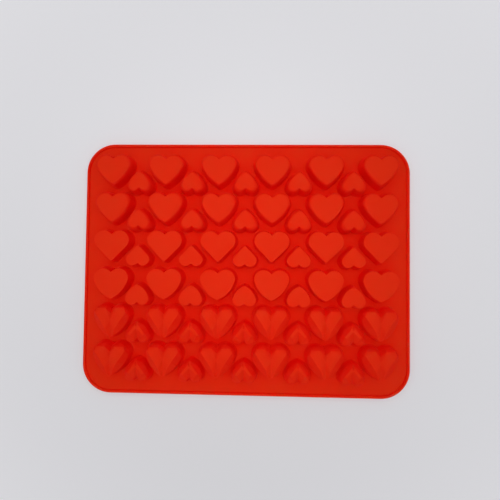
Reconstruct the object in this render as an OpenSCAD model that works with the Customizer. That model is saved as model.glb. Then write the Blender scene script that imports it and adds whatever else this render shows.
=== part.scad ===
// Silicone baking mould with rows of heart cavities, lying upside down on its rim:
// the hollow hearts stand up from the sheet and their mouths open at its underside.
// Millimetres. X runs along the long side, +Y toward the row of rounded hearts, +Z up.

/* [Sheet] */
// Length of the mould along X
sheet_l = 210; // [200:1:260]
// Width of the mould along Y
sheet_w = 162; // [156:1:200]
// Radius of the sheet's corners
corner_r = 18.5; // [8:0.5:24]
// Thickness of the sheet between the hearts
sheet_t = 1.2; // [0.8:0.1:2.4]

/* [Rim] */
// Width of the rim that runs round the sheet
rim_w = 1.8; // [1.2:0.1:4]
// How far the rim reaches below the sheet, as a fill line round the cavities
rim_drop = 1.2; // [0.4:0.1:3]
// How far the rim stands above the back of the sheet
rim_bead = 0.8; // [0.2:0.1:2]

/* [Pattern] */
// Hearts in one row, large ones
columns = 6; // [2:1:6]
// Distance between two large hearts of a row
pitch_x = 33.8; // [32:0.1:34.5]
// Distance between two rows
pitch_y = 24.1; // [24:0.1:25]
// Shift of the whole pattern toward +Y
pattern_up = 2.1; // [0:0.1:3]

/* [Hearts] */
// Height of the hearts above the back of the sheet
boss_h = 9; // [6:0.5:20]
// Thickness of the silicone round a cavity
wall_t = 1.2; // [0.8:0.1:1.6]
// Thickness of the silicone over a cavity
crown_t = 1.3; // [0.8:0.1:2]
// Radius of the concave corner between the two lobes
notch_r = 0.4; // [0.2:0.1:0.8]

/* [Large hearts] */
// Width of a large heart
large_w = 22.2; // [20:0.1:24]
// Height of a large heart, from lobe to tip
large_h = 19.3; // [18:0.1:20.5]
// Radius of the lobes of a large heart
large_lobe_r = 6.1; // [5.6:0.1:6.6]

/* [Small hearts] */
// Width of a small heart
small_w = 15; // [13:0.1:16]
// Height of a small heart, from lobe to tip
small_h = 13; // [12:0.1:14]
// Radius of the lobes of a small heart
small_lobe_r = 4.1; // [3.8:0.1:4.5]

/* [Edges] */
// Rounding of the top edge of the large rounded hearts
puff_large = 2.7; // [1:0.1:3.2]
// Rounding of the top edge of the small rounded hearts
puff_small = 4; // [2:0.1:4.6]
// Radius of the sides of the large curved and faceted hearts
bulge_large = 19.5; // [17:0.5:30]
// Radius of the sides of the small curved and faceted hearts
bulge_small = 12.5; // [11.5:0.5:20]
// Radius of the tip of a sharp edged heart
tip_r = 1.4; // [1:0.1:1.8]
// Radius of the tip of a rounded heart
soft_tip_r = 2.2; // [1.8:0.1:2.6]
// Depth of the cut facets below the top of a faceted heart
facet_depth = 2.8; // [1:0.1:3.6]
// How much wider and taller the faceted hearts are than the others
facet_grow = 0.7; // [0:0.1:1]

/* [Hidden] */
silicone = [0.84, 0.13, 0.06];
sheet_z = rim_drop;
back_z = rim_drop + sheet_t;
rim_top = back_z + rim_bead;
top_z = back_z + boss_h;
// How deep the hearts root in the sheet, and how far a cut runs past a face
root = 0.6;
past = 0.5;
// Smallest radius that a tip keeps inside its cavity
least_r = 0.1;
// Sides of a full circle at the sheet's corners
corner_n = 96;

// The rows from +Y to -Y, by style
ROUNDED = 0;
STRAIGHT = 1;
CURVED = 2;
FACETED = 3;
ROWS = [ROUNDED, ROUNDED, STRAIGHT, CURVED, FACETED, FACETED];
// Middle of the large and of the small hearts above the row line, by style
large_rise = [-0.1, 0, 0.1, 0.3];
small_rise = [-7.4, -6.2, -6.8, -6.4];

// Radius at which a side counts as straight
straight_r = 600;
// Steps of a lobe, a side and a tip in one half of an outline, by style
steps = [[6, 3, 2], [8, 1, 2], [8, 4, 2], [6, 4, 1]];
// Bands of a rounded top edge
puff_bands = 2;
// Sides of the large and the small hearts, by style
large_side = [40, straight_r, bulge_large, bulge_large];
small_side = [25, straight_r, bulge_small, bulge_small];

// An outline is [width, height, lobe radius, tip radius, side radius, steps]
function outline_of(style, large) =
    let (tip = max(style == ROUNDED ? soft_tip_r : tip_r, wall_t + least_r))
    let (grow = style == FACETED ? facet_grow : 0, lobe_grow = grow / 3)
    large
        ? [large_w + grow, large_h + grow, large_lobe_r + lobe_grow, tip, large_side[style], steps[style]]
        : [small_w + grow, small_h + grow, small_lobe_r + lobe_grow, tip, small_side[style], steps[style]];

function arc(c, r, from, to, n) =
    [for (i = [0:n]) let (a = from + (to - from) * i / n) c + r * [cos(a), sin(a)]];
function tail(list) = [for (i = [1:len(list) - 1]) list[i]];
function flip(list) = [for (i = [len(list) - 1:-1:0]) [-list[i][0], list[i][1]]];
function heading(v) = atan2(v[1], v[0]);

// Centre of the circle of radius side that wraps round the lobe circle and the tip circle
function side_centre(lobe, lobe_r, tip, tip_r, side) =
    let (d = tip - lobe, reach = norm(d), near = side - lobe_r, far = side - tip_r)
    let (along = (near * near - far * far + reach * reach) / (2 * reach))
    let (across = sqrt(near * near - along * along))
    lobe + along * d / reach + across * [d[1], -d[0]] / reach;

// Right half of a heart from notch to tip: a notch arc, a lobe arc, a side arc and a tip arc
// that share their tangents, so an inset only changes the four radii
function half_heart(o, inset) =
    let (lobe = [o[0] / 2 - o[2], o[1] / 2 - o[2]], tip = [0, o[3] - o[1] / 2])
    let (rise = sqrt(pow(o[2] + notch_r, 2) - lobe[0] * lobe[0]), notch = [0, lobe[1] + rise])
    let (side = side_centre(lobe, o[2], tip, o[3], o[4]))
    let (at_notch = heading(notch - lobe), at_lobe = heading(lobe - side), at_tip = heading(tip - side))
    concat(
        arc(notch, notch_r + inset, -90, at_notch - 180, 1),
        tail(arc(lobe, o[2] - inset, at_notch, at_lobe, o[5][0])),
        tail(arc(side, o[4] - inset, at_lobe, at_tip, o[5][1])),
        tail(arc(tip, o[3] - inset, at_tip, -90, o[5][2])));

// Whole outline, counter-clockwise, with the notch and the tip once each
function heart(o, inset = 0) =
    let (right = half_heart(o, inset), left = flip(right), n = len(right))
    concat([for (i = [n - 1:-1:0]) right[i]], [for (i = [n - 2:-1:1]) left[i]]);

// Solid through rings of equal point counts, each ring [points, height]
module skin(rings) {
    n = len(rings[0][0]);
    last = len(rings) - 1;
    polyhedron(
        points = [for (r = rings) for (p = r[0]) [p[0], p[1], r[1]]],
        faces = concat(
            [[for (i = [0:n - 1]) i]],
            [for (k = [0:last - 1]) for (i = [0:n - 1])
                [k * n + i, (k + 1) * n + i, (k + 1) * n + (i + 1) % n, k * n + (i + 1) % n]],
            [[for (i = [n:-1:1]) last * n + i % n]]));
}

// Heart with upright walls
module plain_heart(o, inset, low, high) {
    translate([0, 0, low]) linear_extrude(high - low) polygon(heart(o, inset));
}

// Heart whose top edge is rounded off in bands, each a smaller copy of the outline
module puffed_heart(o, inset, low, high, puff) {
    base = heart(o, inset);
    share = 2 * puff / o[0];
    skin(concat(
        [[base, low]],
        [for (i = [0:puff_bands]) let (a = 90 * i / puff_bands)
            [base * (1 - share * (1 - cos(a))), high - puff * (1 - sin(a))]]));
}

// Corners of a cut crown on its right half: shares of the half width, of the half height and
// of the facet depth below the top. First eight corners on the crown, then six on the girdle:
// notch, inner lobe, outer lobe, shoulder, side, tip
large_gem = [
    [0.28, 0.82, 0.18], [0.73, 0.80, 0.30], [0.81, 0.56, 0.17], [0.46, -0.08, 0],
    [0.25, -0.46, 0.03], [0.22, -0.38, 0.05], [0, 0.10, 0.25], [0, 0.50, 0.42],
    [0, 0.80, 1], [0.27, 1.03, 0.95], [0.74, 1.02, 1], [1, 0.26, 1], [0.72, -0.52, 1], [0, -1, 0.55]];
small_gem = [
    [0.33, 0.83, 0.35], [0.76, 0.79, 0.50], [0.78, 0.47, 0.40], [0.72, 0.26, 0.05],
    [0.67, 0.19, 0], [0.56, 0.32, 0.10], [0, -0.50, 0.30], [0, 0.55, 0.70],
    [0, 0.78, 1], [0.33, 1.02, 0.80], [0.78, 1, 1], [1, 0.22, 1], [0.62, -0.50, 1], [0, -1, 0.70]];
// Crown corner from which each girdle corner runs outward
gem_root = [7, 0, 1, 2, 4, 6];
// Facets of the right half, seen from above
gem_facets = [
    [8, 9, 0], [8, 0, 7], [9, 10, 1], [9, 1, 0], [10, 11, 2], [10, 2, 1],
    [11, 3, 2], [11, 12, 3], [12, 4, 3], [12, 13, 4], [13, 5, 4], [13, 6, 5],
    [0, 1, 2], [0, 2, 3], [0, 3, 4], [0, 4, 5], [0, 5, 6], [0, 6, 7]];
// Corners on the crown, corners in all, and how far the girdle overhangs the outline
crown_n = 8;
gem_n = 14;
gem_reach = 1.4;

// Roof of facets that overhangs the outline all round; the outline trims it
module gem_roof(gem, o, low, high) {
    size = [o[0] / 2, o[1] / 2, -facet_depth];
    at = [for (p = gem) [p[0] * size[0], p[1] * size[1], high + p[2] * size[2]]];
    girdle = [for (i = [crown_n:gem_n - 1]) let (from = at[gem_root[i - crown_n]])
        from + gem_reach * (at[i] - from)];
    right = concat([for (i = [0:crown_n - 1]) at[i]], girdle);
    left = [for (p = right) [-p[0], p[1], p[2]]];
    edge = concat([for (i = [crown_n:gem_n - 1]) i], [for (i = [gem_n - 1:-1:crown_n]) gem_n + i]);
    foot = [for (i = edge) let (p = i < gem_n ? right[i] : left[i - gem_n]) [p[0], p[1], low]];
    m = len(edge);
    polyhedron(
        points = concat(right, left, foot),
        faces = concat(
            gem_facets,
            [for (f = gem_facets) [f[2] + gem_n, f[1] + gem_n, f[0] + gem_n]],
            [for (i = [0:m - 1]) [edge[i], 2 * gem_n + i, 2 * gem_n + (i + 1) % m, edge[(i + 1) % m]]],
            [[for (i = [m - 1:-1:0]) 2 * gem_n + i]]));
}

// One heart, solid: as it shows on the back, or inset and lowered as its cavity
module heart_form(style, large, inset, low, high) {
    o = outline_of(style, large);
    if (style == ROUNDED) puffed_heart(o, inset, low, high, large ? puff_large : puff_small);
    else if (style == FACETED) intersection() {
        plain_heart(o, inset, low, high + past);
        gem_roof(large ? large_gem : small_gem, o, low - past, high);
    }
    else plain_heart(o, inset, low, high);
}

// All hearts of the mould: large ones tip down, small ones between them tip up
module heart_field(inset, low, high) {
    for (row = [0:len(ROWS) - 1]) {
        style = ROWS[row];
        y = pattern_up + ((len(ROWS) - 1) / 2 - row) * pitch_y;
        for (i = [0:columns - 1])
            translate([(i - (columns - 1) / 2) * pitch_x, y + large_rise[style]])
                heart_form(style, true, inset, low, high);
        for (i = [1:columns - 1])
            translate([(i - columns / 2) * pitch_x, y + small_rise[style]]) rotate(180)
                heart_form(style, false, inset, low, high);
    }
}

// Flat plate with round corners, drawn in by an inset
module plate(inset, low, high) {
    l = sheet_l - 2 * inset;
    w = sheet_w - 2 * inset;
    r = corner_r - inset;
    translate([0, 0, low]) linear_extrude(high - low) union() {
        square([l - 2 * r, w], center = true);
        square([l, w - 2 * r], center = true);
        for (x = [-1, 1]) for (y = [-1, 1])
            translate([x * (l / 2 - r), y * (w / 2 - r)]) circle(r, $fn = corner_n);
    }
}

// Ring round the sheet that reaches below it and beads above it
module rim() {
    difference() {
        plate(0, 0, rim_top);
        plate(rim_w, -past, rim_top + past);
    }
}

module heart_mould() {
    color(silicone) difference() {
        union() {
            rim();
            plate(rim_w / 2, sheet_z, back_z);
            heart_field(0, back_z - root, top_z);
        }
        heart_field(wall_t, sheet_z - past, top_z - crown_t);
    }
}

heart_mould();
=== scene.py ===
# %% [markdown]
# # A silicone heart mould
# The object is a baking mould of soft red silicone: a thin sheet with a beaded rim, and on it
# six rows of hollow hearts. It lies upside down, so the closed backs of the hearts point up
# and their mouths open toward the table. The packed CAD model gives its place and its size,
# and this script dresses it: a finer mesh, the silicone, a plain pale floor, soft light and
# the camera.

import math

import bmesh
import bpy
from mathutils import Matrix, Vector
from mathutils.geometry import delaunay_2d_cdt


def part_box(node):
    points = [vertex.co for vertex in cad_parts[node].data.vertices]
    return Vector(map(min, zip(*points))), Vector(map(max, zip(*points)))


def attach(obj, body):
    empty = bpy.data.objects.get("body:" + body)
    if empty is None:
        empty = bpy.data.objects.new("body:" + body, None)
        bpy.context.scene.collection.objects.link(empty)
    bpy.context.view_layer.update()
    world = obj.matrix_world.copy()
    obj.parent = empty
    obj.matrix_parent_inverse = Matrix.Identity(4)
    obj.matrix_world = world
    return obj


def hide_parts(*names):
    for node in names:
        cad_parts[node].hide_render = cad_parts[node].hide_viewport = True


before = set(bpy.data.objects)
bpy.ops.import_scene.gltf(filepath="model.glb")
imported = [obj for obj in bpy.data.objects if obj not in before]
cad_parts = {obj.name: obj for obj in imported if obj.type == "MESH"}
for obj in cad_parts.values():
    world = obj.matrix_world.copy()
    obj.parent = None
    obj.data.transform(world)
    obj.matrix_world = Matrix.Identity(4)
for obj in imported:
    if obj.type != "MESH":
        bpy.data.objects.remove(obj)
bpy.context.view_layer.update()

# %% [markdown]
# ## Sizes
# A mould maker writes lengths in millimetres, and Blender works in metres. The shapes could be
# drawn in metres, but their numbers would be hard to read, so they stay in millimetres and one
# factor turns them into metres at the end. The outer box comes from the packed model, and the
# thicknesses repeat the source of the CAD part.

# %% Sizes of the sheet
# Metres in a millimetre, and millimetres in a centimetre
MM = 0.001
CM = 10
low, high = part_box("heart_mould")
SHEET_L = (high.x - low.x) / MM
SHEET_W = (high.y - low.y) / MM
TOP_Z = high.z / MM
SHEET_T = 1.2
RIM_DROP = 1.2
BACK_Z = RIM_DROP + SHEET_T
print(f"sheet {SHEET_L:.0f} x {SHEET_W:.0f} mm, hearts up to {TOP_Z:.1f} mm")

# %% [markdown]
# ## Camera
# The photograph looks straight down from about a quarter of a metre, a little off the middle
# and a little tilted, with a phone's wide lens. A camera could be placed by eye, but the walls
# that show beside the hearts change with every millimetre. So its place, its three angles and
# its lens were fitted to the corners of the sheet and to the hearts.

# %% Camera
# Place in millimetres, angles in degrees, and the lens on a full frame, in millimetres
EYE = (11.25, 5.44, 245.6)
TILT = (1.65, 1.93, 0.67)
LENS = 27.04
FRAME_W = 36
# Nearest distance that is drawn, in metres
NEAREST = 0.005

camera_data = bpy.data.cameras.new("camera")
camera_data.lens = LENS
camera_data.sensor_width = FRAME_W
camera_data.clip_start = NEAREST
camera = bpy.data.objects.new("camera", camera_data)
camera.location = [v * MM for v in EYE]
camera.rotation_euler = [math.radians(a) for a in TILT]
bpy.context.scene.collection.objects.link(camera)
bpy.context.scene.camera = camera
print("camera at", tuple(round(v, 3) for v in camera.location))

# %% [markdown]
# ## The outline of a heart
# Seen from above, each heart of the mould is a notch, two lobes, two sides and a tip. A spline
# could draw it, but a spline changes its form when it is drawn in for the cavity. Here it is
# made of arcs that share their tangents, and one half is mirrored to the other. The centres
# stay put when the outline grows or shrinks, and only the radii change, so a wall keeps one
# thickness all the way round. The notch alone moves, once its radius would get too small.

# %% Sizes of the hearts
ROUNDED, STRAIGHT, CURVED, FACETED = range(4)
# Side radius that looks straight
STRAIGHT_R = 600
# Width, height, lobe radius, tip radius and side radius, by style
LARGE = [
    (22.8, 19.9, 6.15, 2.2, 26),
    (22.2, 19.3, 6.1, 1.4, STRAIGHT_R),
    (22.2, 19.3, 6.1, 1.4, 19.5),
    (22.9, 20.0, 6.33, 1.4, 19.5),
]
SMALL = [
    (15.8, 14.0, 4.15, 2.0, 17),
    (15.0, 13.0, 4.1, 1.4, STRAIGHT_R),
    (15.0, 13.0, 4.1, 1.4, 12.5),
    (15.7, 13.7, 4.33, 1.4, 12.5),
]
print("large hearts:", [form[:2] for form in LARGE], "small:", [form[:2] for form in SMALL])

# %% Heart outline
# Radius of the notch, and the least that it may shrink to
NOTCH_R = 0.4
SHARP_R = 0.05
# Steps along the notch, the lobe, the side and the tip
HEART_STEPS = (2, 12, 6, 4)


def heading(v):
    """Angle of a direction in the plan."""
    return math.atan2(v.y, v.x)


def arc(centre, radius, start, end, steps):
    """Points along a circle from one angle to another, both ends included."""
    turns = [start + (end - start) * i / steps for i in range(steps + 1)]
    return [centre + radius * Vector((math.cos(a), math.sin(a))) for a in turns]


def side_centre(lobe, lobe_r, tip, tip_r, side_r):
    """Centre of the circle that wraps round the lobe circle and the tip circle."""
    way = tip - lobe
    near, far = side_r - lobe_r, side_r - tip_r
    ahead = (near**2 - far**2 + way.length_squared) / (2 * way.length)
    across = math.sqrt(near**2 - ahead**2)
    return lobe + ahead * way.normalized() + across * Vector((way.y, -way.x)).normalized()


def heart(form, inset=0, steps=HEART_STEPS, notch_r=NOTCH_R):
    """Counter-clockwise outline that starts at the tip; a negative inset grows it."""
    width, height, lobe_r, tip_r, side_r = form
    lobe = Vector((width / 2 - lobe_r, height / 2 - lobe_r))
    tip = Vector((0, tip_r - height / 2))
    notch_r = max(notch_r + inset, SHARP_R)
    notch = Vector((0, lobe.y + math.sqrt((lobe_r - inset + notch_r) ** 2 - lobe.x**2)))
    side = side_centre(lobe, lobe_r, tip, tip_r, side_r)
    at_notch, at_lobe, at_tip = heading(notch - lobe), heading(lobe - side), heading(tip - side)
    down = -math.pi / 2
    right = (
        arc(notch, notch_r, down, at_notch - math.pi, steps[0])
        + arc(lobe, lobe_r - inset, at_notch, at_lobe, steps[1])[1:]
        + arc(side, side_r - inset, at_lobe, at_tip, steps[2])[1:]
        + arc(tip, tip_r - inset, at_tip, down, steps[3])[1:]
    )
    left = [Vector((-p.x, p.y)) for p in right[1:-1]]
    return right[::-1] + left


print("points in an outline:", len(heart(LARGE[ROUNDED])))

# %% [markdown]
# ## Patches of surface
# The real mould is one skin. It could be cut from a block with booleans, but those leave thin
# slivers along every heart. Instead it is made from patches: a heart of each style and size,
# the cavity under it, the rim, and the flat sheet between them. A patch lists its points and
# its faces, and its foot, the loop of points that meets the sheet. Each heart is made once and
# set down many times.

# %% Patch of surface


class Patch:
    """Points, faces that number them, and the loop that meets the sheet."""

    def __init__(self):
        self.points = []
        self.faces = []
        self.foot = []

    def ring(self, outline, z):
        """Adds a loop of points at one height, and returns their numbers."""
        start = len(self.points)
        self.points += [Vector((p.x, p.y, z)) for p in outline]
        return list(range(start, len(self.points)))

    def band(self, outer, inner):
        """Closes the strip between two loops."""
        n = len(outer)
        for i in range(n):
            j = (i + 1) % n
            self.faces.append([outer[i], outer[j], inner[j], inner[i]])

    def placed(self, x, y, turned):
        """The same patch set down elsewhere, turned half round if asked."""
        sign = -1 if turned else 1
        other = Patch()
        other.points = [Vector((x + sign * p.x, y + sign * p.y, p.z)) for p in self.points]
        other.faces = self.faces
        other.foot = self.foot
        return other


print("an empty patch:", vars(Patch()))

# %% Lofts and rounded edges
# Steps round a small fillet or a rounded edge
ROUND_STEPS = 3


def loft(rings, closed=True):
    """A patch through loops of (outline, height), from its foot to its top."""
    patch = Patch()
    loops = [patch.ring(outline, z) for outline, z in rings]
    patch.foot = loops[0]
    for outer, inner in zip(loops, loops[1:]):
        patch.band(outer, inner)
    if closed:
        patch.faces.append(loops[-1])
    return patch


def quarter(steps):
    """Sine and cosine along a quarter turn, for a rounded edge."""
    turns = [math.pi / 2 * i / steps for i in range(steps + 1)]
    return [(math.sin(a), math.cos(a)) for a in turns]


print("a rounded edge:", [(round(s, 2), round(c, 2)) for s, c in quarter(ROUND_STEPS)])

# %% [markdown]
# ## Plain and rounded hearts
# Silicone is moulded in a metal die, so nothing on it is quite sharp: the walls lean inward a
# little, a small fillet joins each heart to the sheet, and the flat hearts have a small round
# along their top edge. A bevel could add those rounds, but loops at chosen heights do it with
# faces that stay in order. The rounded hearts are cushions, so their loops shrink toward the
# middle along a curve that is steep at the wall and flat at the top.

# %% Plain and rounded hearts
# How far a wall leans inward from its foot to its top
DRAFT = 0.75
FOOT_FILLET = 0.4
EDGE_R = 0.35
# Width and height of the rounding of a cushion's crown, and the bands in it
PUFF_LARGE = 1.9
PUFF_SMALL = 2.4
PUFF_BANDS = 6
# Radius that the notch gains toward the top of a cushion, in lobe radii
SOFT_NOTCH = 0.15
FLAT_STEPS = (2, 12, 6, 3)


def foot_rings(form, inset, z, fillet, steps):
    """Fillet that leads from the sheet into the drafted wall."""
    return [
        (heart(form, inset - DRAFT - fillet * (1 - s), steps), z + fillet * (1 - c))
        for s, c in quarter(ROUND_STEPS)
    ]


def flat_heart(form, inset, z, top, fillet, edge_r):
    """A heart with a level crown and a small round along its edge."""
    rings = foot_rings(form, inset, z, fillet, FLAT_STEPS)
    for s, c in quarter(ROUND_STEPS):
        outline = heart(form, inset + edge_r * (1 - c), FLAT_STEPS)
        rings.append((outline, top - edge_r * (1 - s)))
    return loft(rings)


def cushion_heart(form, inset, z, top, fillet, puff):
    """A heart whose crown is rounded over the outermost puff millimetres."""
    rings = foot_rings(form, inset, z, fillet, HEART_STEPS)
    share = 2 * puff / form[0]
    for s, c in quarter(PUFF_BANDS):
        outline = heart(form, inset, HEART_STEPS, NOTCH_R + SOFT_NOTCH * form[2] * (1 - c))
        rings.append(([p * (1 - share * (1 - c)) for p in outline], top - puff * (1 - s)))
    return loft(rings)


trial = cushion_heart(SMALL[ROUNDED], 0, BACK_Z, TOP_Z, FOOT_FILLET, PUFF_SMALL)
print("faces of a small cushion heart:", len(trial.faces))

# %% [markdown]
# ## Facets of a cut heart
# The last two rows are cut like gems, with flat facets that fall away from a raised V. They
# could be modelled by hand, but a table of corners is easier to correct. The crown's corners
# come first, and those of its girdle are pushed outward past the outline, so the facets make
# a roof with room to trim. On the small hearts the V itself is a narrow strip, nearly level.

# %% Tables of corners and facets
# Corners of the right half: shares of the half width, the half height and the facet depth
LARGE_GEM = [
    (0.28, 0.82, 0.18), (0.76, 0.82, 0.25), (0.85, 0.56, 0.15), (0.46, -0.10, 0),
    (0.25, -0.47, 0.03), (0.22, -0.40, 0.05), (0, 0.10, 0.27), (0, 0.50, 0.50),
    (0, 0.80, 1.5), (0.27, 1.03, 1), (0.74, 1.02, 1), (0.96, 0.72, 0.85),
    (1, 0.26, 1), (0.72, -0.52, 1), (0, -1, 0.55),
]
SMALL_GEM = [
    (0.24, 0.80, 0.64), (0.76, 0.79, 0.62), (0.80, 0.47, 0.46), (0.68, 0.12, 0),
    (0.10, -0.72, 0.06), (0.53, 0.26, 0), (0, -0.42, 0.06), (0, 0.52, 0.78),
    (0, 0.80, 1.6), (0.26, 1.02, 1.1), (0.78, 1, 1), (0.96, 0.72, 0.85),
    (1, 0.22, 1), (0.62, -0.50, 1), (0, -1, 0.55),
]
# Crown corner from which each girdle corner runs outward
LARGE_ROOT = [7, 0, 1, 2, 2, 4, 6]
SMALL_ROOT = [7, 0, 1, 2, 2, 6, 6]
# Numbers of each facet's corners: first the facets that both sizes share, then their own
SHARED_FACETS = [
    (8, 9, 0), (8, 0, 7), (9, 10, 1), (9, 1, 0), (10, 11, 2), (10, 2, 1), (11, 12, 2),
    (12, 3, 2), (12, 13, 3), (13, 4, 3), (13, 14, 4), (0, 1, 2), (0, 2, 3), (0, 5, 6), (0, 6, 7),
]
LARGE_FACETS = SHARED_FACETS + [(14, 5, 4), (14, 6, 5), (0, 3, 4), (0, 4, 5)]
SMALL_FACETS = SHARED_FACETS + [(14, 6, 4), (3, 4, 6), (3, 6, 5), (0, 3, 5)]
LARGE_CUT = (LARGE_GEM, LARGE_ROOT, LARGE_FACETS)
SMALL_CUT = (SMALL_GEM, SMALL_ROOT, SMALL_FACETS)
print("corners in half a crown:", len(LARGE_GEM), "facets:", len(LARGE_FACETS), len(SMALL_FACETS))

# %% Roof of a cut heart
# Corners of the crown, before those of the girdle
CROWN_N = 8
FACET_DEPTH = 2.8
# How far a girdle corner ends up along the line that runs to it from the crown
GEM_REACH = 1.4
CREASE = 0.12
# A length in millimetres, or an angle in radians, and an area that count as nothing
LEVEL = 0.01
TINY = 1e-6


def gem_triangles(form, cut, top):
    """The roof's facets in space, both halves."""
    corners, roots, facets = cut
    size = Vector((form[0] / 2, form[1] / 2, -FACET_DEPTH))
    at = [Vector((x * size.x, y * size.y, top + z * size.z)) for x, y, z in corners]
    girdle = [at[r] + GEM_REACH * (p - at[r]) for p, r in zip(at[CROWN_N:], roots)]
    right = at[:CROWN_N] + girdle
    left = [Vector((-p.x, p.y, p.z)) for p in right]
    halves = [[right[i] for i in f] for f in facets]
    return halves + [[left[i] for i in reversed(f)] for f in facets]


def creased(facets, crease):
    """The same roof with a narrow bevel along each crease, as triangles."""
    mesh = bmesh.new()
    for facet in facets:
        mesh.faces.new([mesh.verts.new(p) for p in facet])
    bmesh.ops.remove_doubles(mesh, verts=mesh.verts, dist=LEVEL)
    sharp = [e for e in mesh.edges if e.is_manifold and e.calc_face_angle() > LEVEL]
    bmesh.ops.bevel(mesh, geom=sharp, offset=crease, segments=1, affect="EDGES",
                    clamp_overlap=False)
    bmesh.ops.triangulate(mesh, faces=mesh.faces)
    triangles = [[v.co.copy() for v in f.verts] for f in mesh.faces]
    mesh.free()
    return [t for t in triangles if abs((t[1] - t[0]).xy.cross((t[2] - t[0]).xy)) > TINY]


print("facets of a cut crown:", len(gem_triangles(LARGE[FACETED], LARGE_CUT, TOP_Z)))

# %% [markdown]
# ## Cut hearts
# A cut heart is that roof, trimmed by the heart's outline. A narrow bevel first breaks the
# roof's creases, because silicone takes no keen edge. A boolean could trim it, but it fails
# easily where a crease meets a curve. A constrained triangulation finds every crossing of the
# two, and level neighbours are merged again. A short curve at each point of the brink rounds
# the edge between roof and wall, and the wall goes down to its foot as on the other hearts.

# %% Trimmed roof
CUT_STEPS = (1, 8, 5, 2)
# Output of the triangulation: triangles over the whole plan
WHOLE_PLAN = 0
# Points of the roof's plan that lie closer than this are one
ROOF_JOIN = 1e-4


def height_on(facets, p):
    """Height of the roof over a point of the plan."""
    best = (-math.inf, 0)
    for a, b, c in facets:
        ab, ac, ap = (b - a).xy, (c - a).xy, p - a.xy
        whole = ab.cross(ac)
        u, v = ap.cross(ac) / whole, ab.cross(ap) / whole
        z = a.z + u * (b.z - a.z) + v * (c.z - a.z)
        best = max(best, (min(u, v, 1 - u - v), z))
    return best[1]


def inside(outline, p):
    """Whether a point of the plan lies inside a closed outline."""
    hit = False
    for a, b in zip(outline, outline[1:] + outline[:1]):
        if (a.y > p.y) != (b.y > p.y) and p.x < a.x + (p.y - a.y) * (b.x - a.x) / (b.y - a.y):
            hit = not hit
    return hit


def trimmed_roof(facets, outline):
    """The roof as a mesh, trimmed by the outline, with level neighbours merged."""
    plan = list(outline)
    edges = [(i, (i + 1) % len(outline)) for i in range(len(outline))]
    for facet in facets:
        start = len(plan)
        plan += [p.xy for p in facet]
        edges += [(start, start + 1), (start + 1, start + 2), (start + 2, start)]
    points, _, triangles, *_ = delaunay_2d_cdt(plan, edges, [], WHOLE_PLAN, ROOF_JOIN)
    middles = [sum((points[i] for i in t), Vector((0, 0))) / 3 for t in triangles]
    kept = [t for t, m in zip(triangles, middles) if inside(outline, m)]
    mesh = bmesh.new()
    for p in points:
        mesh.verts.new((p.x, p.y, height_on(facets, p)))
    mesh.verts.ensure_lookup_table()
    for t in kept:
        mesh.faces.new([mesh.verts[i] for i in t])
    bmesh.ops.delete(mesh, geom=[v for v in mesh.verts if not v.link_faces], context="VERTS")
    bmesh.ops.dissolve_limit(mesh, angle_limit=LEVEL, verts=mesh.verts, edges=mesh.edges)
    return mesh


plain_roof = gem_triangles(LARGE[FACETED], LARGE_CUT, TOP_Z)
trial = trimmed_roof(plain_roof, heart(LARGE[FACETED], EDGE_R, CUT_STEPS))
print("faces of a trimmed roof without creases:", len(trial.faces))
trial.free()

# %% Cut hearts
# Digits of a distance to the outline, so that of two equal places the first is taken
TIE_DIGITS = 5


def along(outline, p):
    """How far round the outline a point lies, in points and parts of a step."""
    best = (math.inf, 0)
    for i, a in enumerate(outline):
        way = outline[(i + 1) % len(outline)] - a
        part = min(max((p - a).dot(way) / way.length_squared, 0), 1)
        best = min(best, (round((a + part * way - p).length, TIE_DIGITS), i + part))
    return best[1] % len(outline)


def on_loop(outline, place):
    """The point at such a place of any loop with the same number of points."""
    i = int(place)
    return outline[i].lerp(outline[(i + 1) % len(outline)], place - i)


def edge_ring(start, corner, drop, share):
    """Points part of the way down the curves that round the roof's edge."""
    end = [p - Vector((0, 0, drop)) for p in corner]
    near, middle, far = (1 - share) ** 2, 2 * share * (1 - share), share**2
    return [near * a + middle * b + far * c for a, b, c in zip(start, corner, end)]


def cut_heart(form, cut, inset, z, top, fillet, edge_r, crease):
    """A heart with a faceted crown, a rounded edge, drafted walls and a fillet at its foot."""
    facets = gem_triangles(form, cut, top)
    if crease:
        facets = creased(facets, crease)
    brink = heart(form, inset + edge_r, CUT_STEPS)
    mesh = trimmed_roof(facets, brink)
    upper = [v for v in mesh.verts if v.is_boundary]
    upper.sort(key=lambda v: along(brink, v.co.xy))
    places = [along(brink, v.co.xy) for v in upper]
    outline = heart(form, inset, CUT_STEPS)
    corner = [on_loop(outline, place) for place in places]
    corner = [Vector((*p, height_on(facets, p))) for p in corner]
    start = [v.co.copy() for v in upper]
    loops = [edge_ring(start, corner, edge_r, (i + 1) / ROUND_STEPS) for i in range(ROUND_STEPS)]
    for grown, height in reversed(foot_rings(form, inset, z, fillet, CUT_STEPS)):
        loops.append([Vector((*on_loop(grown, place), height)) for place in places])
    for loop in loops:
        lower = [mesh.verts.new(p) for p in loop]
        for i in range(len(places)):
            mesh.faces.new([lower[i - 1], lower[i], upper[i], upper[i - 1]])
        upper = lower
    mesh.verts.index_update()
    patch = Patch()
    patch.points = [v.co.copy() for v in mesh.verts]
    patch.faces = [[v.index for v in f.verts] for f in mesh.faces]
    patch.foot = [v.index for v in upper]
    mesh.free()
    return patch


trial = cut_heart(LARGE[FACETED], LARGE_CUT, 0, BACK_Z, TOP_Z, FOOT_FILLET, EDGE_R, CREASE)
print("faces of a large cut heart:", len(trial.faces), "points round its foot:", len(trial.foot))

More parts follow.
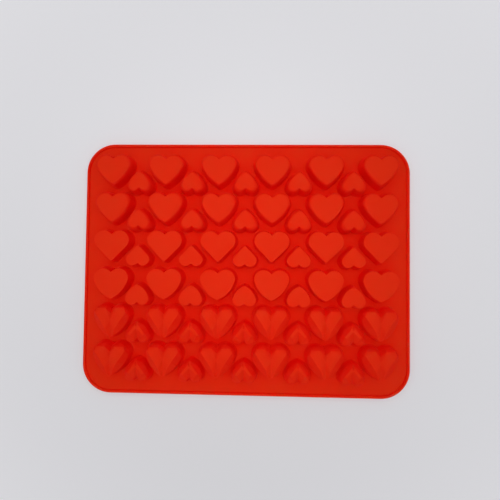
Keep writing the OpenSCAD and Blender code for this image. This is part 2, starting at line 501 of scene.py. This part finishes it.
# %% [markdown]
# ## The field of hearts
# Large hearts stand tip down in columns, and small ones fill the gaps between them tip up. An
# array modifier could repeat one heart, but the styles change from row to row, so a loop sets
# them down. The same layout serves twice: once for the closed backs above the sheet, and once
# for the cavities below it, which are the same shapes drawn in by the thickness of the wall.

# %% Field of hearts
COLUMNS = 6
ROWS = [ROUNDED, ROUNDED, STRAIGHT, CURVED, FACETED, FACETED]
PITCH_X = 33.8
PITCH_Y = 24.1
# Middle of the row lines above the middle of the sheet
PATTERN_UP = 2.1
# Middle of a heart above its row line, by style
LARGE_RISE = [0.2, 0, 0.1, 0.3]
SMALL_RISE = [-7.1, -6.2, -6.8, -6.4]
WALL_T = 1.2
CROWN_T = 1.3
MOUTH_R = 0.3
CAVITY_EDGE_R = 0.12


def one_heart(style, form, cut, puff, inset, z, top, fillet, edge_r, crease):
    """A heart of any style; a style leaves out the sizes that it has no use for."""
    if style == ROUNDED:
        return cushion_heart(form, inset, z, top, fillet, puff)
    if style == FACETED:
        return cut_heart(form, cut, inset, z, top, fillet, edge_r, crease)
    return flat_heart(form, inset, z, top, fillet, edge_r)


def heart_field(inset, z, top, fillet, edge_r, crease):
    """Every heart of the mould, as placed patches."""
    placed = []
    kinds = {}
    for style in set(ROWS):
        shared = (inset, z, top, fillet, edge_r, crease)
        kinds[style] = (
            one_heart(style, LARGE[style], LARGE_CUT, PUFF_LARGE, *shared),
            one_heart(style, SMALL[style], SMALL_CUT, PUFF_SMALL, *shared),
        )
    for row, style in enumerate(ROWS):
        y = PATTERN_UP + ((len(ROWS) - 1) / 2 - row) * PITCH_Y
        large, small = kinds[style]
        for i in range(COLUMNS):
            x = (i - (COLUMNS - 1) / 2) * PITCH_X
            placed.append(large.placed(x, y + LARGE_RISE[style], False))
        for i in range(1, COLUMNS):
            x = (i - COLUMNS / 2) * PITCH_X
            placed.append(small.placed(x, y + SMALL_RISE[style], True))
    return placed


backs = heart_field(0, BACK_Z, TOP_Z, FOOT_FILLET, EDGE_R, CREASE)
cavities = heart_field(WALL_T, RIM_DROP, TOP_Z - CROWN_T, MOUTH_R, CAVITY_EDGE_R, 0)
print("hearts:", len(backs), "faces of the backs:", sum(len(p.faces) for p in backs),
      "faces of the cavities:", sum(len(p.faces) for p in cavities))

# %% [markdown]
# ## The rim
# A bead runs round the sheet. It stands a little proud of the back and reaches a little below
# the sheet, so the mould rests on a narrow ring. A curve with a bevel could make it, but its
# points wouldn't meet those of the sheet. So its section is one path of short arcs, from the
# underside round to the back, and each point of the path becomes a rounded rectangle.

# %% Rim
CORNER_R = 18.5
CORNER_STEPS = 16
RIM_W = 1.8
RIM_BEAD = 0.8
RIM_TOP = BACK_Z + RIM_BEAD
BEAD_R = 0.45
BEAD_STEPS = 4
FOOT_R = 0.35
FOOT_STEPS = 3
RIM_FILLET = 0.2
FILLET_STEPS = 2


def rounded_rectangle(inset):
    """Counter-clockwise outline of the sheet, drawn in by an inset."""
    r = CORNER_R - inset
    x, y = SHEET_L / 2 - CORNER_R, SHEET_W / 2 - CORNER_R
    corners = [((x, y), 0), ((-x, y), 90), ((-x, -y), 180), ((x, -y), 270)]
    outline = []
    for centre, start in corners:
        a = math.radians(start)
        outline += arc(Vector(centre), r, a, a + math.pi / 2, CORNER_STEPS)
    return outline


def bend(centre, radius, start, end, steps):
    """Part of the rim's section: a short arc, angles in degrees."""
    return arc(Vector(centre), radius, math.radians(start), math.radians(end), steps)


def rim_section():
    """From the sheet's underside, round the bead, to the sheet's back: (inset, height)."""
    inner, f = RIM_W, RIM_FILLET
    return (
        bend((inner + f, RIM_DROP - f), f, 90, 180, FILLET_STEPS)
        + bend((inner - FOOT_R, FOOT_R), FOOT_R, 0, -90, FOOT_STEPS)
        + bend((FOOT_R, FOOT_R), FOOT_R, -90, -180, FOOT_STEPS)
        + bend((BEAD_R, RIM_TOP - BEAD_R), BEAD_R, 180, 90, BEAD_STEPS)
        + bend((inner - BEAD_R, RIM_TOP - BEAD_R), BEAD_R, 90, 0, BEAD_STEPS)
        + bend((inner + f, BACK_Z + f), f, 180, 270, FILLET_STEPS)
    )


section = rim_section()
rim = loft([(rounded_rectangle(p.x), p.y) for p in section], closed=False)
rim_inner, rim_outer = rim.points[: len(rim.foot)], rim.points[-len(rim.foot):]
print("rim section:", len(section), "points, faces:", len(rim.faces))

# %% [markdown]
# ## The flat sheet
# What is left is flat: the back of the sheet and its underside, each with the rim outside and
# 66 heart-shaped holes inside. A face in Blender can't have holes, and cutting them would make
# new points along each edge. A constrained triangulation fills such a region exactly, from the
# loops that the patches already have, so that everything meets point to point.

# %% Flat sheet with holes
# Points of the sheet's plan that lie closer than this are one
SHEET_JOIN = 1e-5


def flat_sheet(border, patches, z):
    """Fills the region between a border and the feet of patches, at one height."""
    loops = [[p.xy for p in border]] + [[p.points[i].xy for i in p.foot] for p in patches]
    plan, edges, owners = [], [], []
    for number, loop in enumerate(loops):
        start, n = len(plan), len(loop)
        plan += loop
        owners += [number] * n
        edges += [(start + i, start + (i + 1) % n) for i in range(n)]
    points, _, triangles, sources, *_ = delaunay_2d_cdt(plan, edges, [], WHOLE_PLAN, SHEET_JOIN)
    patch = Patch()
    patch.points = [Vector((p.x, p.y, z)) for p in points]
    for triangle in triangles:
        a, b, c = (points[i] for i in triangle)
        touched = {owners[sources[i][0]] for i in triangle}
        hole = touched.pop() if len(touched) == 1 else 0
        if not (hole and inside(loops[hole], (a + b + c) / 3)):
            patch.faces.append(triangle if (b - a).cross(c - a) > 0 else triangle[::-1])
    return patch


def area(patch):
    """Area of a patch of triangles, seen from above, in square millimetres."""
    return sum((patch.points[b] - patch.points[a]).cross(patch.points[c] - patch.points[a]).z
               for a, b, c in patch.faces) / 2


back = flat_sheet(rim_outer, backs, BACK_Z)
underside = flat_sheet(rim_inner, cavities, RIM_DROP)
print(f"flat back {area(back) / CM**2:.1f} cm2, flat underside {area(underside) / CM**2:.1f} cm2")

# %% [markdown]
# ## One skin
# The real mould is one moulding, so its model is one closed mesh. The patches could stay apart,
# but light that travels under the surface would stop at their edges. So those seen from below
# are turned inside out, and points that coincide are welded. Weighted normals keep the flats
# flat while the small rounds between them shade smoothly.

# %% One skin
# Points that lie closer than this are welded
WELD = 0.004
# Over 50, the larger of two faces counts for more in the normal between them
LARGE_FACE_WEIGHT = 80


def one_skin(parts):
    """Joins (patch, turned inside out) pairs into one closed mesh, in metres."""
    mesh = bmesh.new()
    for patch, flipped in parts:
        verts = [mesh.verts.new(p) for p in patch.points]
        for face in patch.faces:
            mesh.faces.new([verts[i] for i in (reversed(face) if flipped else face)])
    bmesh.ops.remove_doubles(mesh, verts=mesh.verts, dist=WELD)
    open_edges = sum(not e.is_manifold for e in mesh.edges)
    volume = mesh.calc_volume(signed=True)
    bmesh.ops.scale(mesh, vec=(MM, MM, MM), verts=mesh.verts)
    data = bpy.data.meshes.new("heart_mould_skin")
    mesh.to_mesh(data)
    mesh.free()
    print(f"open edges: {open_edges}, silicone: {volume / CM**3:.1f} cm3")
    return data


def upright(parts):
    """Patches that keep the side that they were made with."""
    return [(p, False) for p in parts]


def inverted(parts):
    """Patches that are seen from below."""
    return [(p, True) for p in parts]


skin = one_skin(upright(backs + [back, rim]) + inverted(cavities + [underside]))
skin.shade_smooth()
mould = bpy.data.objects.new("heart_mould_skin", skin)
bpy.context.scene.collection.objects.link(mould)
weighted = mould.modifiers.new("weighted normals", "WEIGHTED_NORMAL")
weighted.weight = LARGE_FACE_WEIGHT
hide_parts("heart_mould")
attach(mould, "root")
triangles = sum(len(f.vertices) - 2 for f in skin.polygons)
print("triangles of the mould:", triangles)

# %% [markdown]
# ## Writing shaders as sums
# A material could be built link by link, but it is easier to read as arithmetic. This small
# class wraps an output socket. Arithmetic on it adds Math nodes, mixing colours by it adds a
# Mix node, and one method adds any other node. A wire without a socket stands for the bare
# node tree, from which the first nodes come.

# %% Shader helper
# Numbers of the Mix node's sockets for colours
MIX_FACTOR, MIX_FIRST, MIX_SECOND, MIX_RESULT = 0, 6, 7, 2


class Wire:
    """An output socket that can be used in sums, and a way to add nodes after it."""

    def __init__(self, tree, socket=None):
        self.tree = tree
        self.socket = socket

    def node(self, kind, settings, sockets, output=0):
        """Adds a node, sets it up, feeds its sockets and returns one of its outputs."""
        made = self.tree.nodes.new(kind)
        for name, value in settings.items():
            setattr(made, name, value)
        for name, value in sockets.items():
            if isinstance(value, Wire):
                self.tree.links.new(value.socket, made.inputs[name])
            else:
                made.inputs[name].default_value = value
        return Wire(self.tree, made.outputs[output] if made.outputs else None)

    def mix(self, first, second):
        """The first colour where this wire is nought, and the second where it is one."""
        sockets = {MIX_FACTOR: self, MIX_FIRST: first, MIX_SECOND: second}
        return self.node("ShaderNodeMix", {"data_type": "RGBA"}, sockets, MIX_RESULT)

    def math(self, operation, first, second):
        """A Math node on two numbers or wires."""
        return self.node("ShaderNodeMath", {"operation": operation}, {0: first, 1: second})

    def __add__(self, other):
        return self.math("ADD", self, other)

    def __rsub__(self, other):
        return self.math("SUBTRACT", other, self)

    def __mul__(self, other):
        return self.math("MULTIPLY", self, other)

    def __rtruediv__(self, other):
        return self.math("DIVIDE", other, self)

    def __pow__(self, other):
        return self.math("POWER", self, other)

    __radd__ = __add__
    __rmul__ = __mul__


def cleared(owner):
    """The emptied node tree of a material or a world."""
    owner.use_nodes = True
    owner.node_tree.nodes.clear()
    return Wire(owner.node_tree)


def noise(place, scale, detail):
    """A soft random pattern, mostly between nought and one."""
    return place.node("ShaderNodeTexNoise", {}, {"Vector": place, "Scale": scale, "Detail": detail})


print("shader helper:", Wire.__doc__)

# %% [markdown]
# ## Red silicone
# Silicone is matt and a little waxy, and lets light about half a millimetre in. Scattering
# under the surface gives that look, but by itself it leaves the gaps and the walls paler than
# in the photograph, where light that bounces between close hearts comes back a deeper red. So
# that shade is painted into the colour: crowding, told by ambient occlusion, and slope, told by
# the normal, both paint in a darker, deeper red, and the steepest walls get a painted shade of
# their own. The colour also drifts slightly across a moulding, the die leaves a fine grain, and
# handling leaves faint smoother patches.

# %% Red silicone
RED = (0.88, 0.0335, 0.0064, 1)
DEEP_RED = (0.86, 0.0305, 0.0056, 1)
# Painted shade: the darker, deeper red that occlusion and slope mix into the colour
SHADE_PAINTED_RED = (0.81, 0.0085, 0.003, 1)
# Painted shade: a deeper red for the steepest walls
WALL_SHADE_PAINTED_RED = (0.91, 0.0085, 0.003, 1)
# How far the painted shade between crowded hearts reaches, and how strongly occlusion and slope
# paint shade as a deeper red
PAINTED_SHADE_REACH = 0.010
OCCLUSION_SHADE_DEPTH = 1.0
SLOPE_SHADE_DEPTH = 1.05
# How sharply the painted shade of the walls sets in
WALL_SHADE_EDGE = 3
# Scale and detail of the drift in colour, the handled patches and the grain
DRIFT_NOISE = (28.0, 3.0)
HANDLED_NOISE = (90.0, 4.0)
GRAIN_NOISE = (2400.0, 2.0)
# Least roughness, and what the handled patches and the grain add to it at most
ROUGH, ROUGH_HANDLED, ROUGH_GRAIN = 0.60, 0.10, 0.05
# Height of the relief, its strength, and the share of the handled patches in it
RELIEF_HEIGHT, RELIEF_STRENGTH, RELIEF_HANDLED = 0.00002, 0.35, 0.8


def silicone():
    """Matt red silicone, with shade painted into its colour as a deeper red in gaps and on walls.
    """
    material = bpy.data.materials.new("silicone")
    tree = cleared(material)
    place = tree.node("ShaderNodeTexCoord", {}, {}, output="Object")
    drift, handled, grain = (noise(place, *n) for n in (DRIFT_NOISE, HANDLED_NOISE, GRAIN_NOISE))
    open_sky = tree.node("ShaderNodeAmbientOcclusion", {"only_local": True, "samples": 8},
                         {"Distance": PAINTED_SHADE_REACH}, output="AO")
    normal = tree.node("ShaderNodeTexCoord", {}, {}, output="Normal")
    up = tree.node("ShaderNodeSeparateXYZ", {}, {0: normal}, output="Z")
    # Nought on the flats and one on an upright wall: the square of the slope's sine
    lean = 1 - up * up
    # Painted shade: mask of occlusion and slope, where less light would fall
    painted_shade = OCCLUSION_SHADE_DEPTH * (1 - open_sky) + SLOPE_SHADE_DEPTH * lean ** 0.5
    shade_painted_colour = painted_shade.mix(drift.mix(DEEP_RED, RED), SHADE_PAINTED_RED)
    bump = tree.node("ShaderNodeBump", {}, {
        "Height": grain + RELIEF_HANDLED * handled,
        "Distance": RELIEF_HEIGHT,
        "Strength": RELIEF_STRENGTH,
    })
    shader = tree.node("ShaderNodeBsdfPrincipled", {}, {
        # Painted shade: the steepest walls take a deeper red of their own
        "Base Color": (lean ** WALL_SHADE_EDGE).mix(shade_painted_colour, WALL_SHADE_PAINTED_RED),
        "Roughness": ROUGH + ROUGH_HANDLED * handled + ROUGH_GRAIN * grain,
        "Normal": bump,
        "IOR": 1.41,
        "Specular IOR Level": 0.03,
        "Subsurface Weight": 1.0,
        "Subsurface Radius": (1.0, 0.10, 0.05),
        "Subsurface Scale": 0.0006,
    })
    tree.node("ShaderNodeOutputMaterial", {}, {"Surface": shader})
    return material


skin.materials.append(silicone())
print("finish of the mould:", skin.materials[0].name)

# %% [markdown]
# ## Light
# The photograph was taken in soft light from nearly overhead: every wall is dark, whichever
# way it faces, and the light falls off from the upper middle toward the corners. A picture of a
# room could light the scene, but two lamps are easier to fit to that falloff. A broad one hangs
# low over the mould, a little toward the far side, and a narrower beam from above it lifts the
# middle. A pale room fills the shadows.

# %% Light
ROOM = (0.80, 0.80, 0.82, 1)
ROOM_LIGHT = 0.64
# Where each lamp hangs, how wide it is, its watts and the spread of its beam in degrees
LAMPS = {
    "near": ((0.0, 0.070, 0.25), 0.16, 0.036, 180),
    "over": ((0.0, 0.062, 0.40), 0.20, 0.053, 46),
}


def hang_lamp(name, place, size, watts, spread):
    """A square lamp that shines toward the middle of the mould."""
    data = bpy.data.lights.new(name, "AREA")
    data.shape = "SQUARE"
    data.size = size
    data.energy = watts
    data.spread = math.radians(spread)
    lamp = bpy.data.objects.new(name, data)
    lamp.location = place
    lamp.rotation_euler = (-Vector(place)).to_track_quat("-Z", "Y").to_euler()
    lamp.visible_camera = False
    bpy.context.scene.collection.objects.link(lamp)


def seen_directly(tree):
    """One where the camera sees a thing, also in a gloss or through glass, and nought elsewhere."""
    camera_ray, glossy_ray, glass_ray = (
        tree.node("ShaderNodeLightPath", {}, {}, output=name)
        for name in ("Is Camera Ray", "Is Glossy Ray", "Is Transmission Ray"))
    return tree.node("ShaderNodeMath", {"operation": "ADD", "use_clamp": True},
                     {0: camera_ray + glossy_ray, 1: glass_ray})


for name, lamp_form in LAMPS.items():
    hang_lamp(name, *lamp_form)

room = bpy.data.worlds.new("room")
bpy.context.scene.world = room
room_tree = cleared(room)
strength = ROOM_LIGHT + seen_directly(room_tree) * (1 - ROOM_LIGHT)
background = room_tree.node("ShaderNodeBackground", {}, {"Color": ROOM, "Strength": strength})
room_tree.node("ShaderNodeOutputWorld", {}, {"Surface": background})
bpy.context.scene.view_settings.view_transform = "Standard"
print("lamps:", LAMPS)

# %% [markdown]
# ## The table
# The mould lies on a plain pale floor, which looks evenly lit right into the corners while the
# mould gets darker toward them. Brighter lamps would even out both. So the floor gives off some
# light of its own, for the camera alone: it makes up what the lamps lose toward the corners,
# and the mould keeps its soft falloff.

# %% Pale table
FLOOR_SIZE = 6.0
# The mould's foot stands this far above the floor, so that the two never share a plane
FLOOR_GAP = 0.00002
PALE = (0.80, 0.798, 0.815, 1)
PALE_SHADE = (0.78, 0.777, 0.795, 1)
TONE_NOISE = (9.0, 4.0)
# Least roughness, and what the drift in tone adds to it at most
FLOOR_ROUGH, FLOOR_ROUGH_TONE = 0.5, 0.1
# Middle of the pool of lamp light, the distance at which a quarter of it is left, and what the
# floor adds where none is left
POOL_AT = (0.0, -0.022, 0.0)
POOL_R = 0.253
MAKE_UP = (0.357, 0.355, 0.367, 1)
BLACK = (0, 0, 0, 1)


def pale_floor():
    """Pale matt floor that makes up the lamps' falloff for the camera."""
    material = bpy.data.materials.new("pale_floor")
    tree = cleared(material)
    place = tree.node("ShaderNodeTexCoord", {}, {}, output="Object")
    tone = noise(place, *TONE_NOISE)
    away = tree.node("ShaderNodeVectorMath", {"operation": "DISTANCE"},
                     {0: place, 1: POOL_AT}, output="Value")
    near = POOL_R ** 2 / (away * away + POOL_R ** 2)
    lost = (1 - near * near) * seen_directly(tree)
    shader = tree.node("ShaderNodeBsdfPrincipled", {}, {
        "Base Color": tone.mix(PALE_SHADE, PALE),
        "Roughness": FLOOR_ROUGH + FLOOR_ROUGH_TONE * tone,
        "Emission Color": lost.mix(BLACK, MAKE_UP),
        "Emission Strength": 1.0,
    })
    tree.node("ShaderNodeOutputMaterial", {}, {"Surface": shader})
    return material


floor_mesh = bmesh.new()
bmesh.ops.create_grid(floor_mesh, x_segments=1, y_segments=1, size=FLOOR_SIZE / 2)
floor_data = bpy.data.meshes.new("table")
floor_mesh.to_mesh(floor_data)
floor_mesh.free()
floor = bpy.data.objects.new("table", floor_data)
floor.location.z = -FLOOR_GAP
floor_data.materials.append(pale_floor())
bpy.context.scene.collection.objects.link(floor)
print("table:", FLOOR_SIZE, "m across")

# %% [markdown]
# The dressed mould has to fill the same box as the packed model.
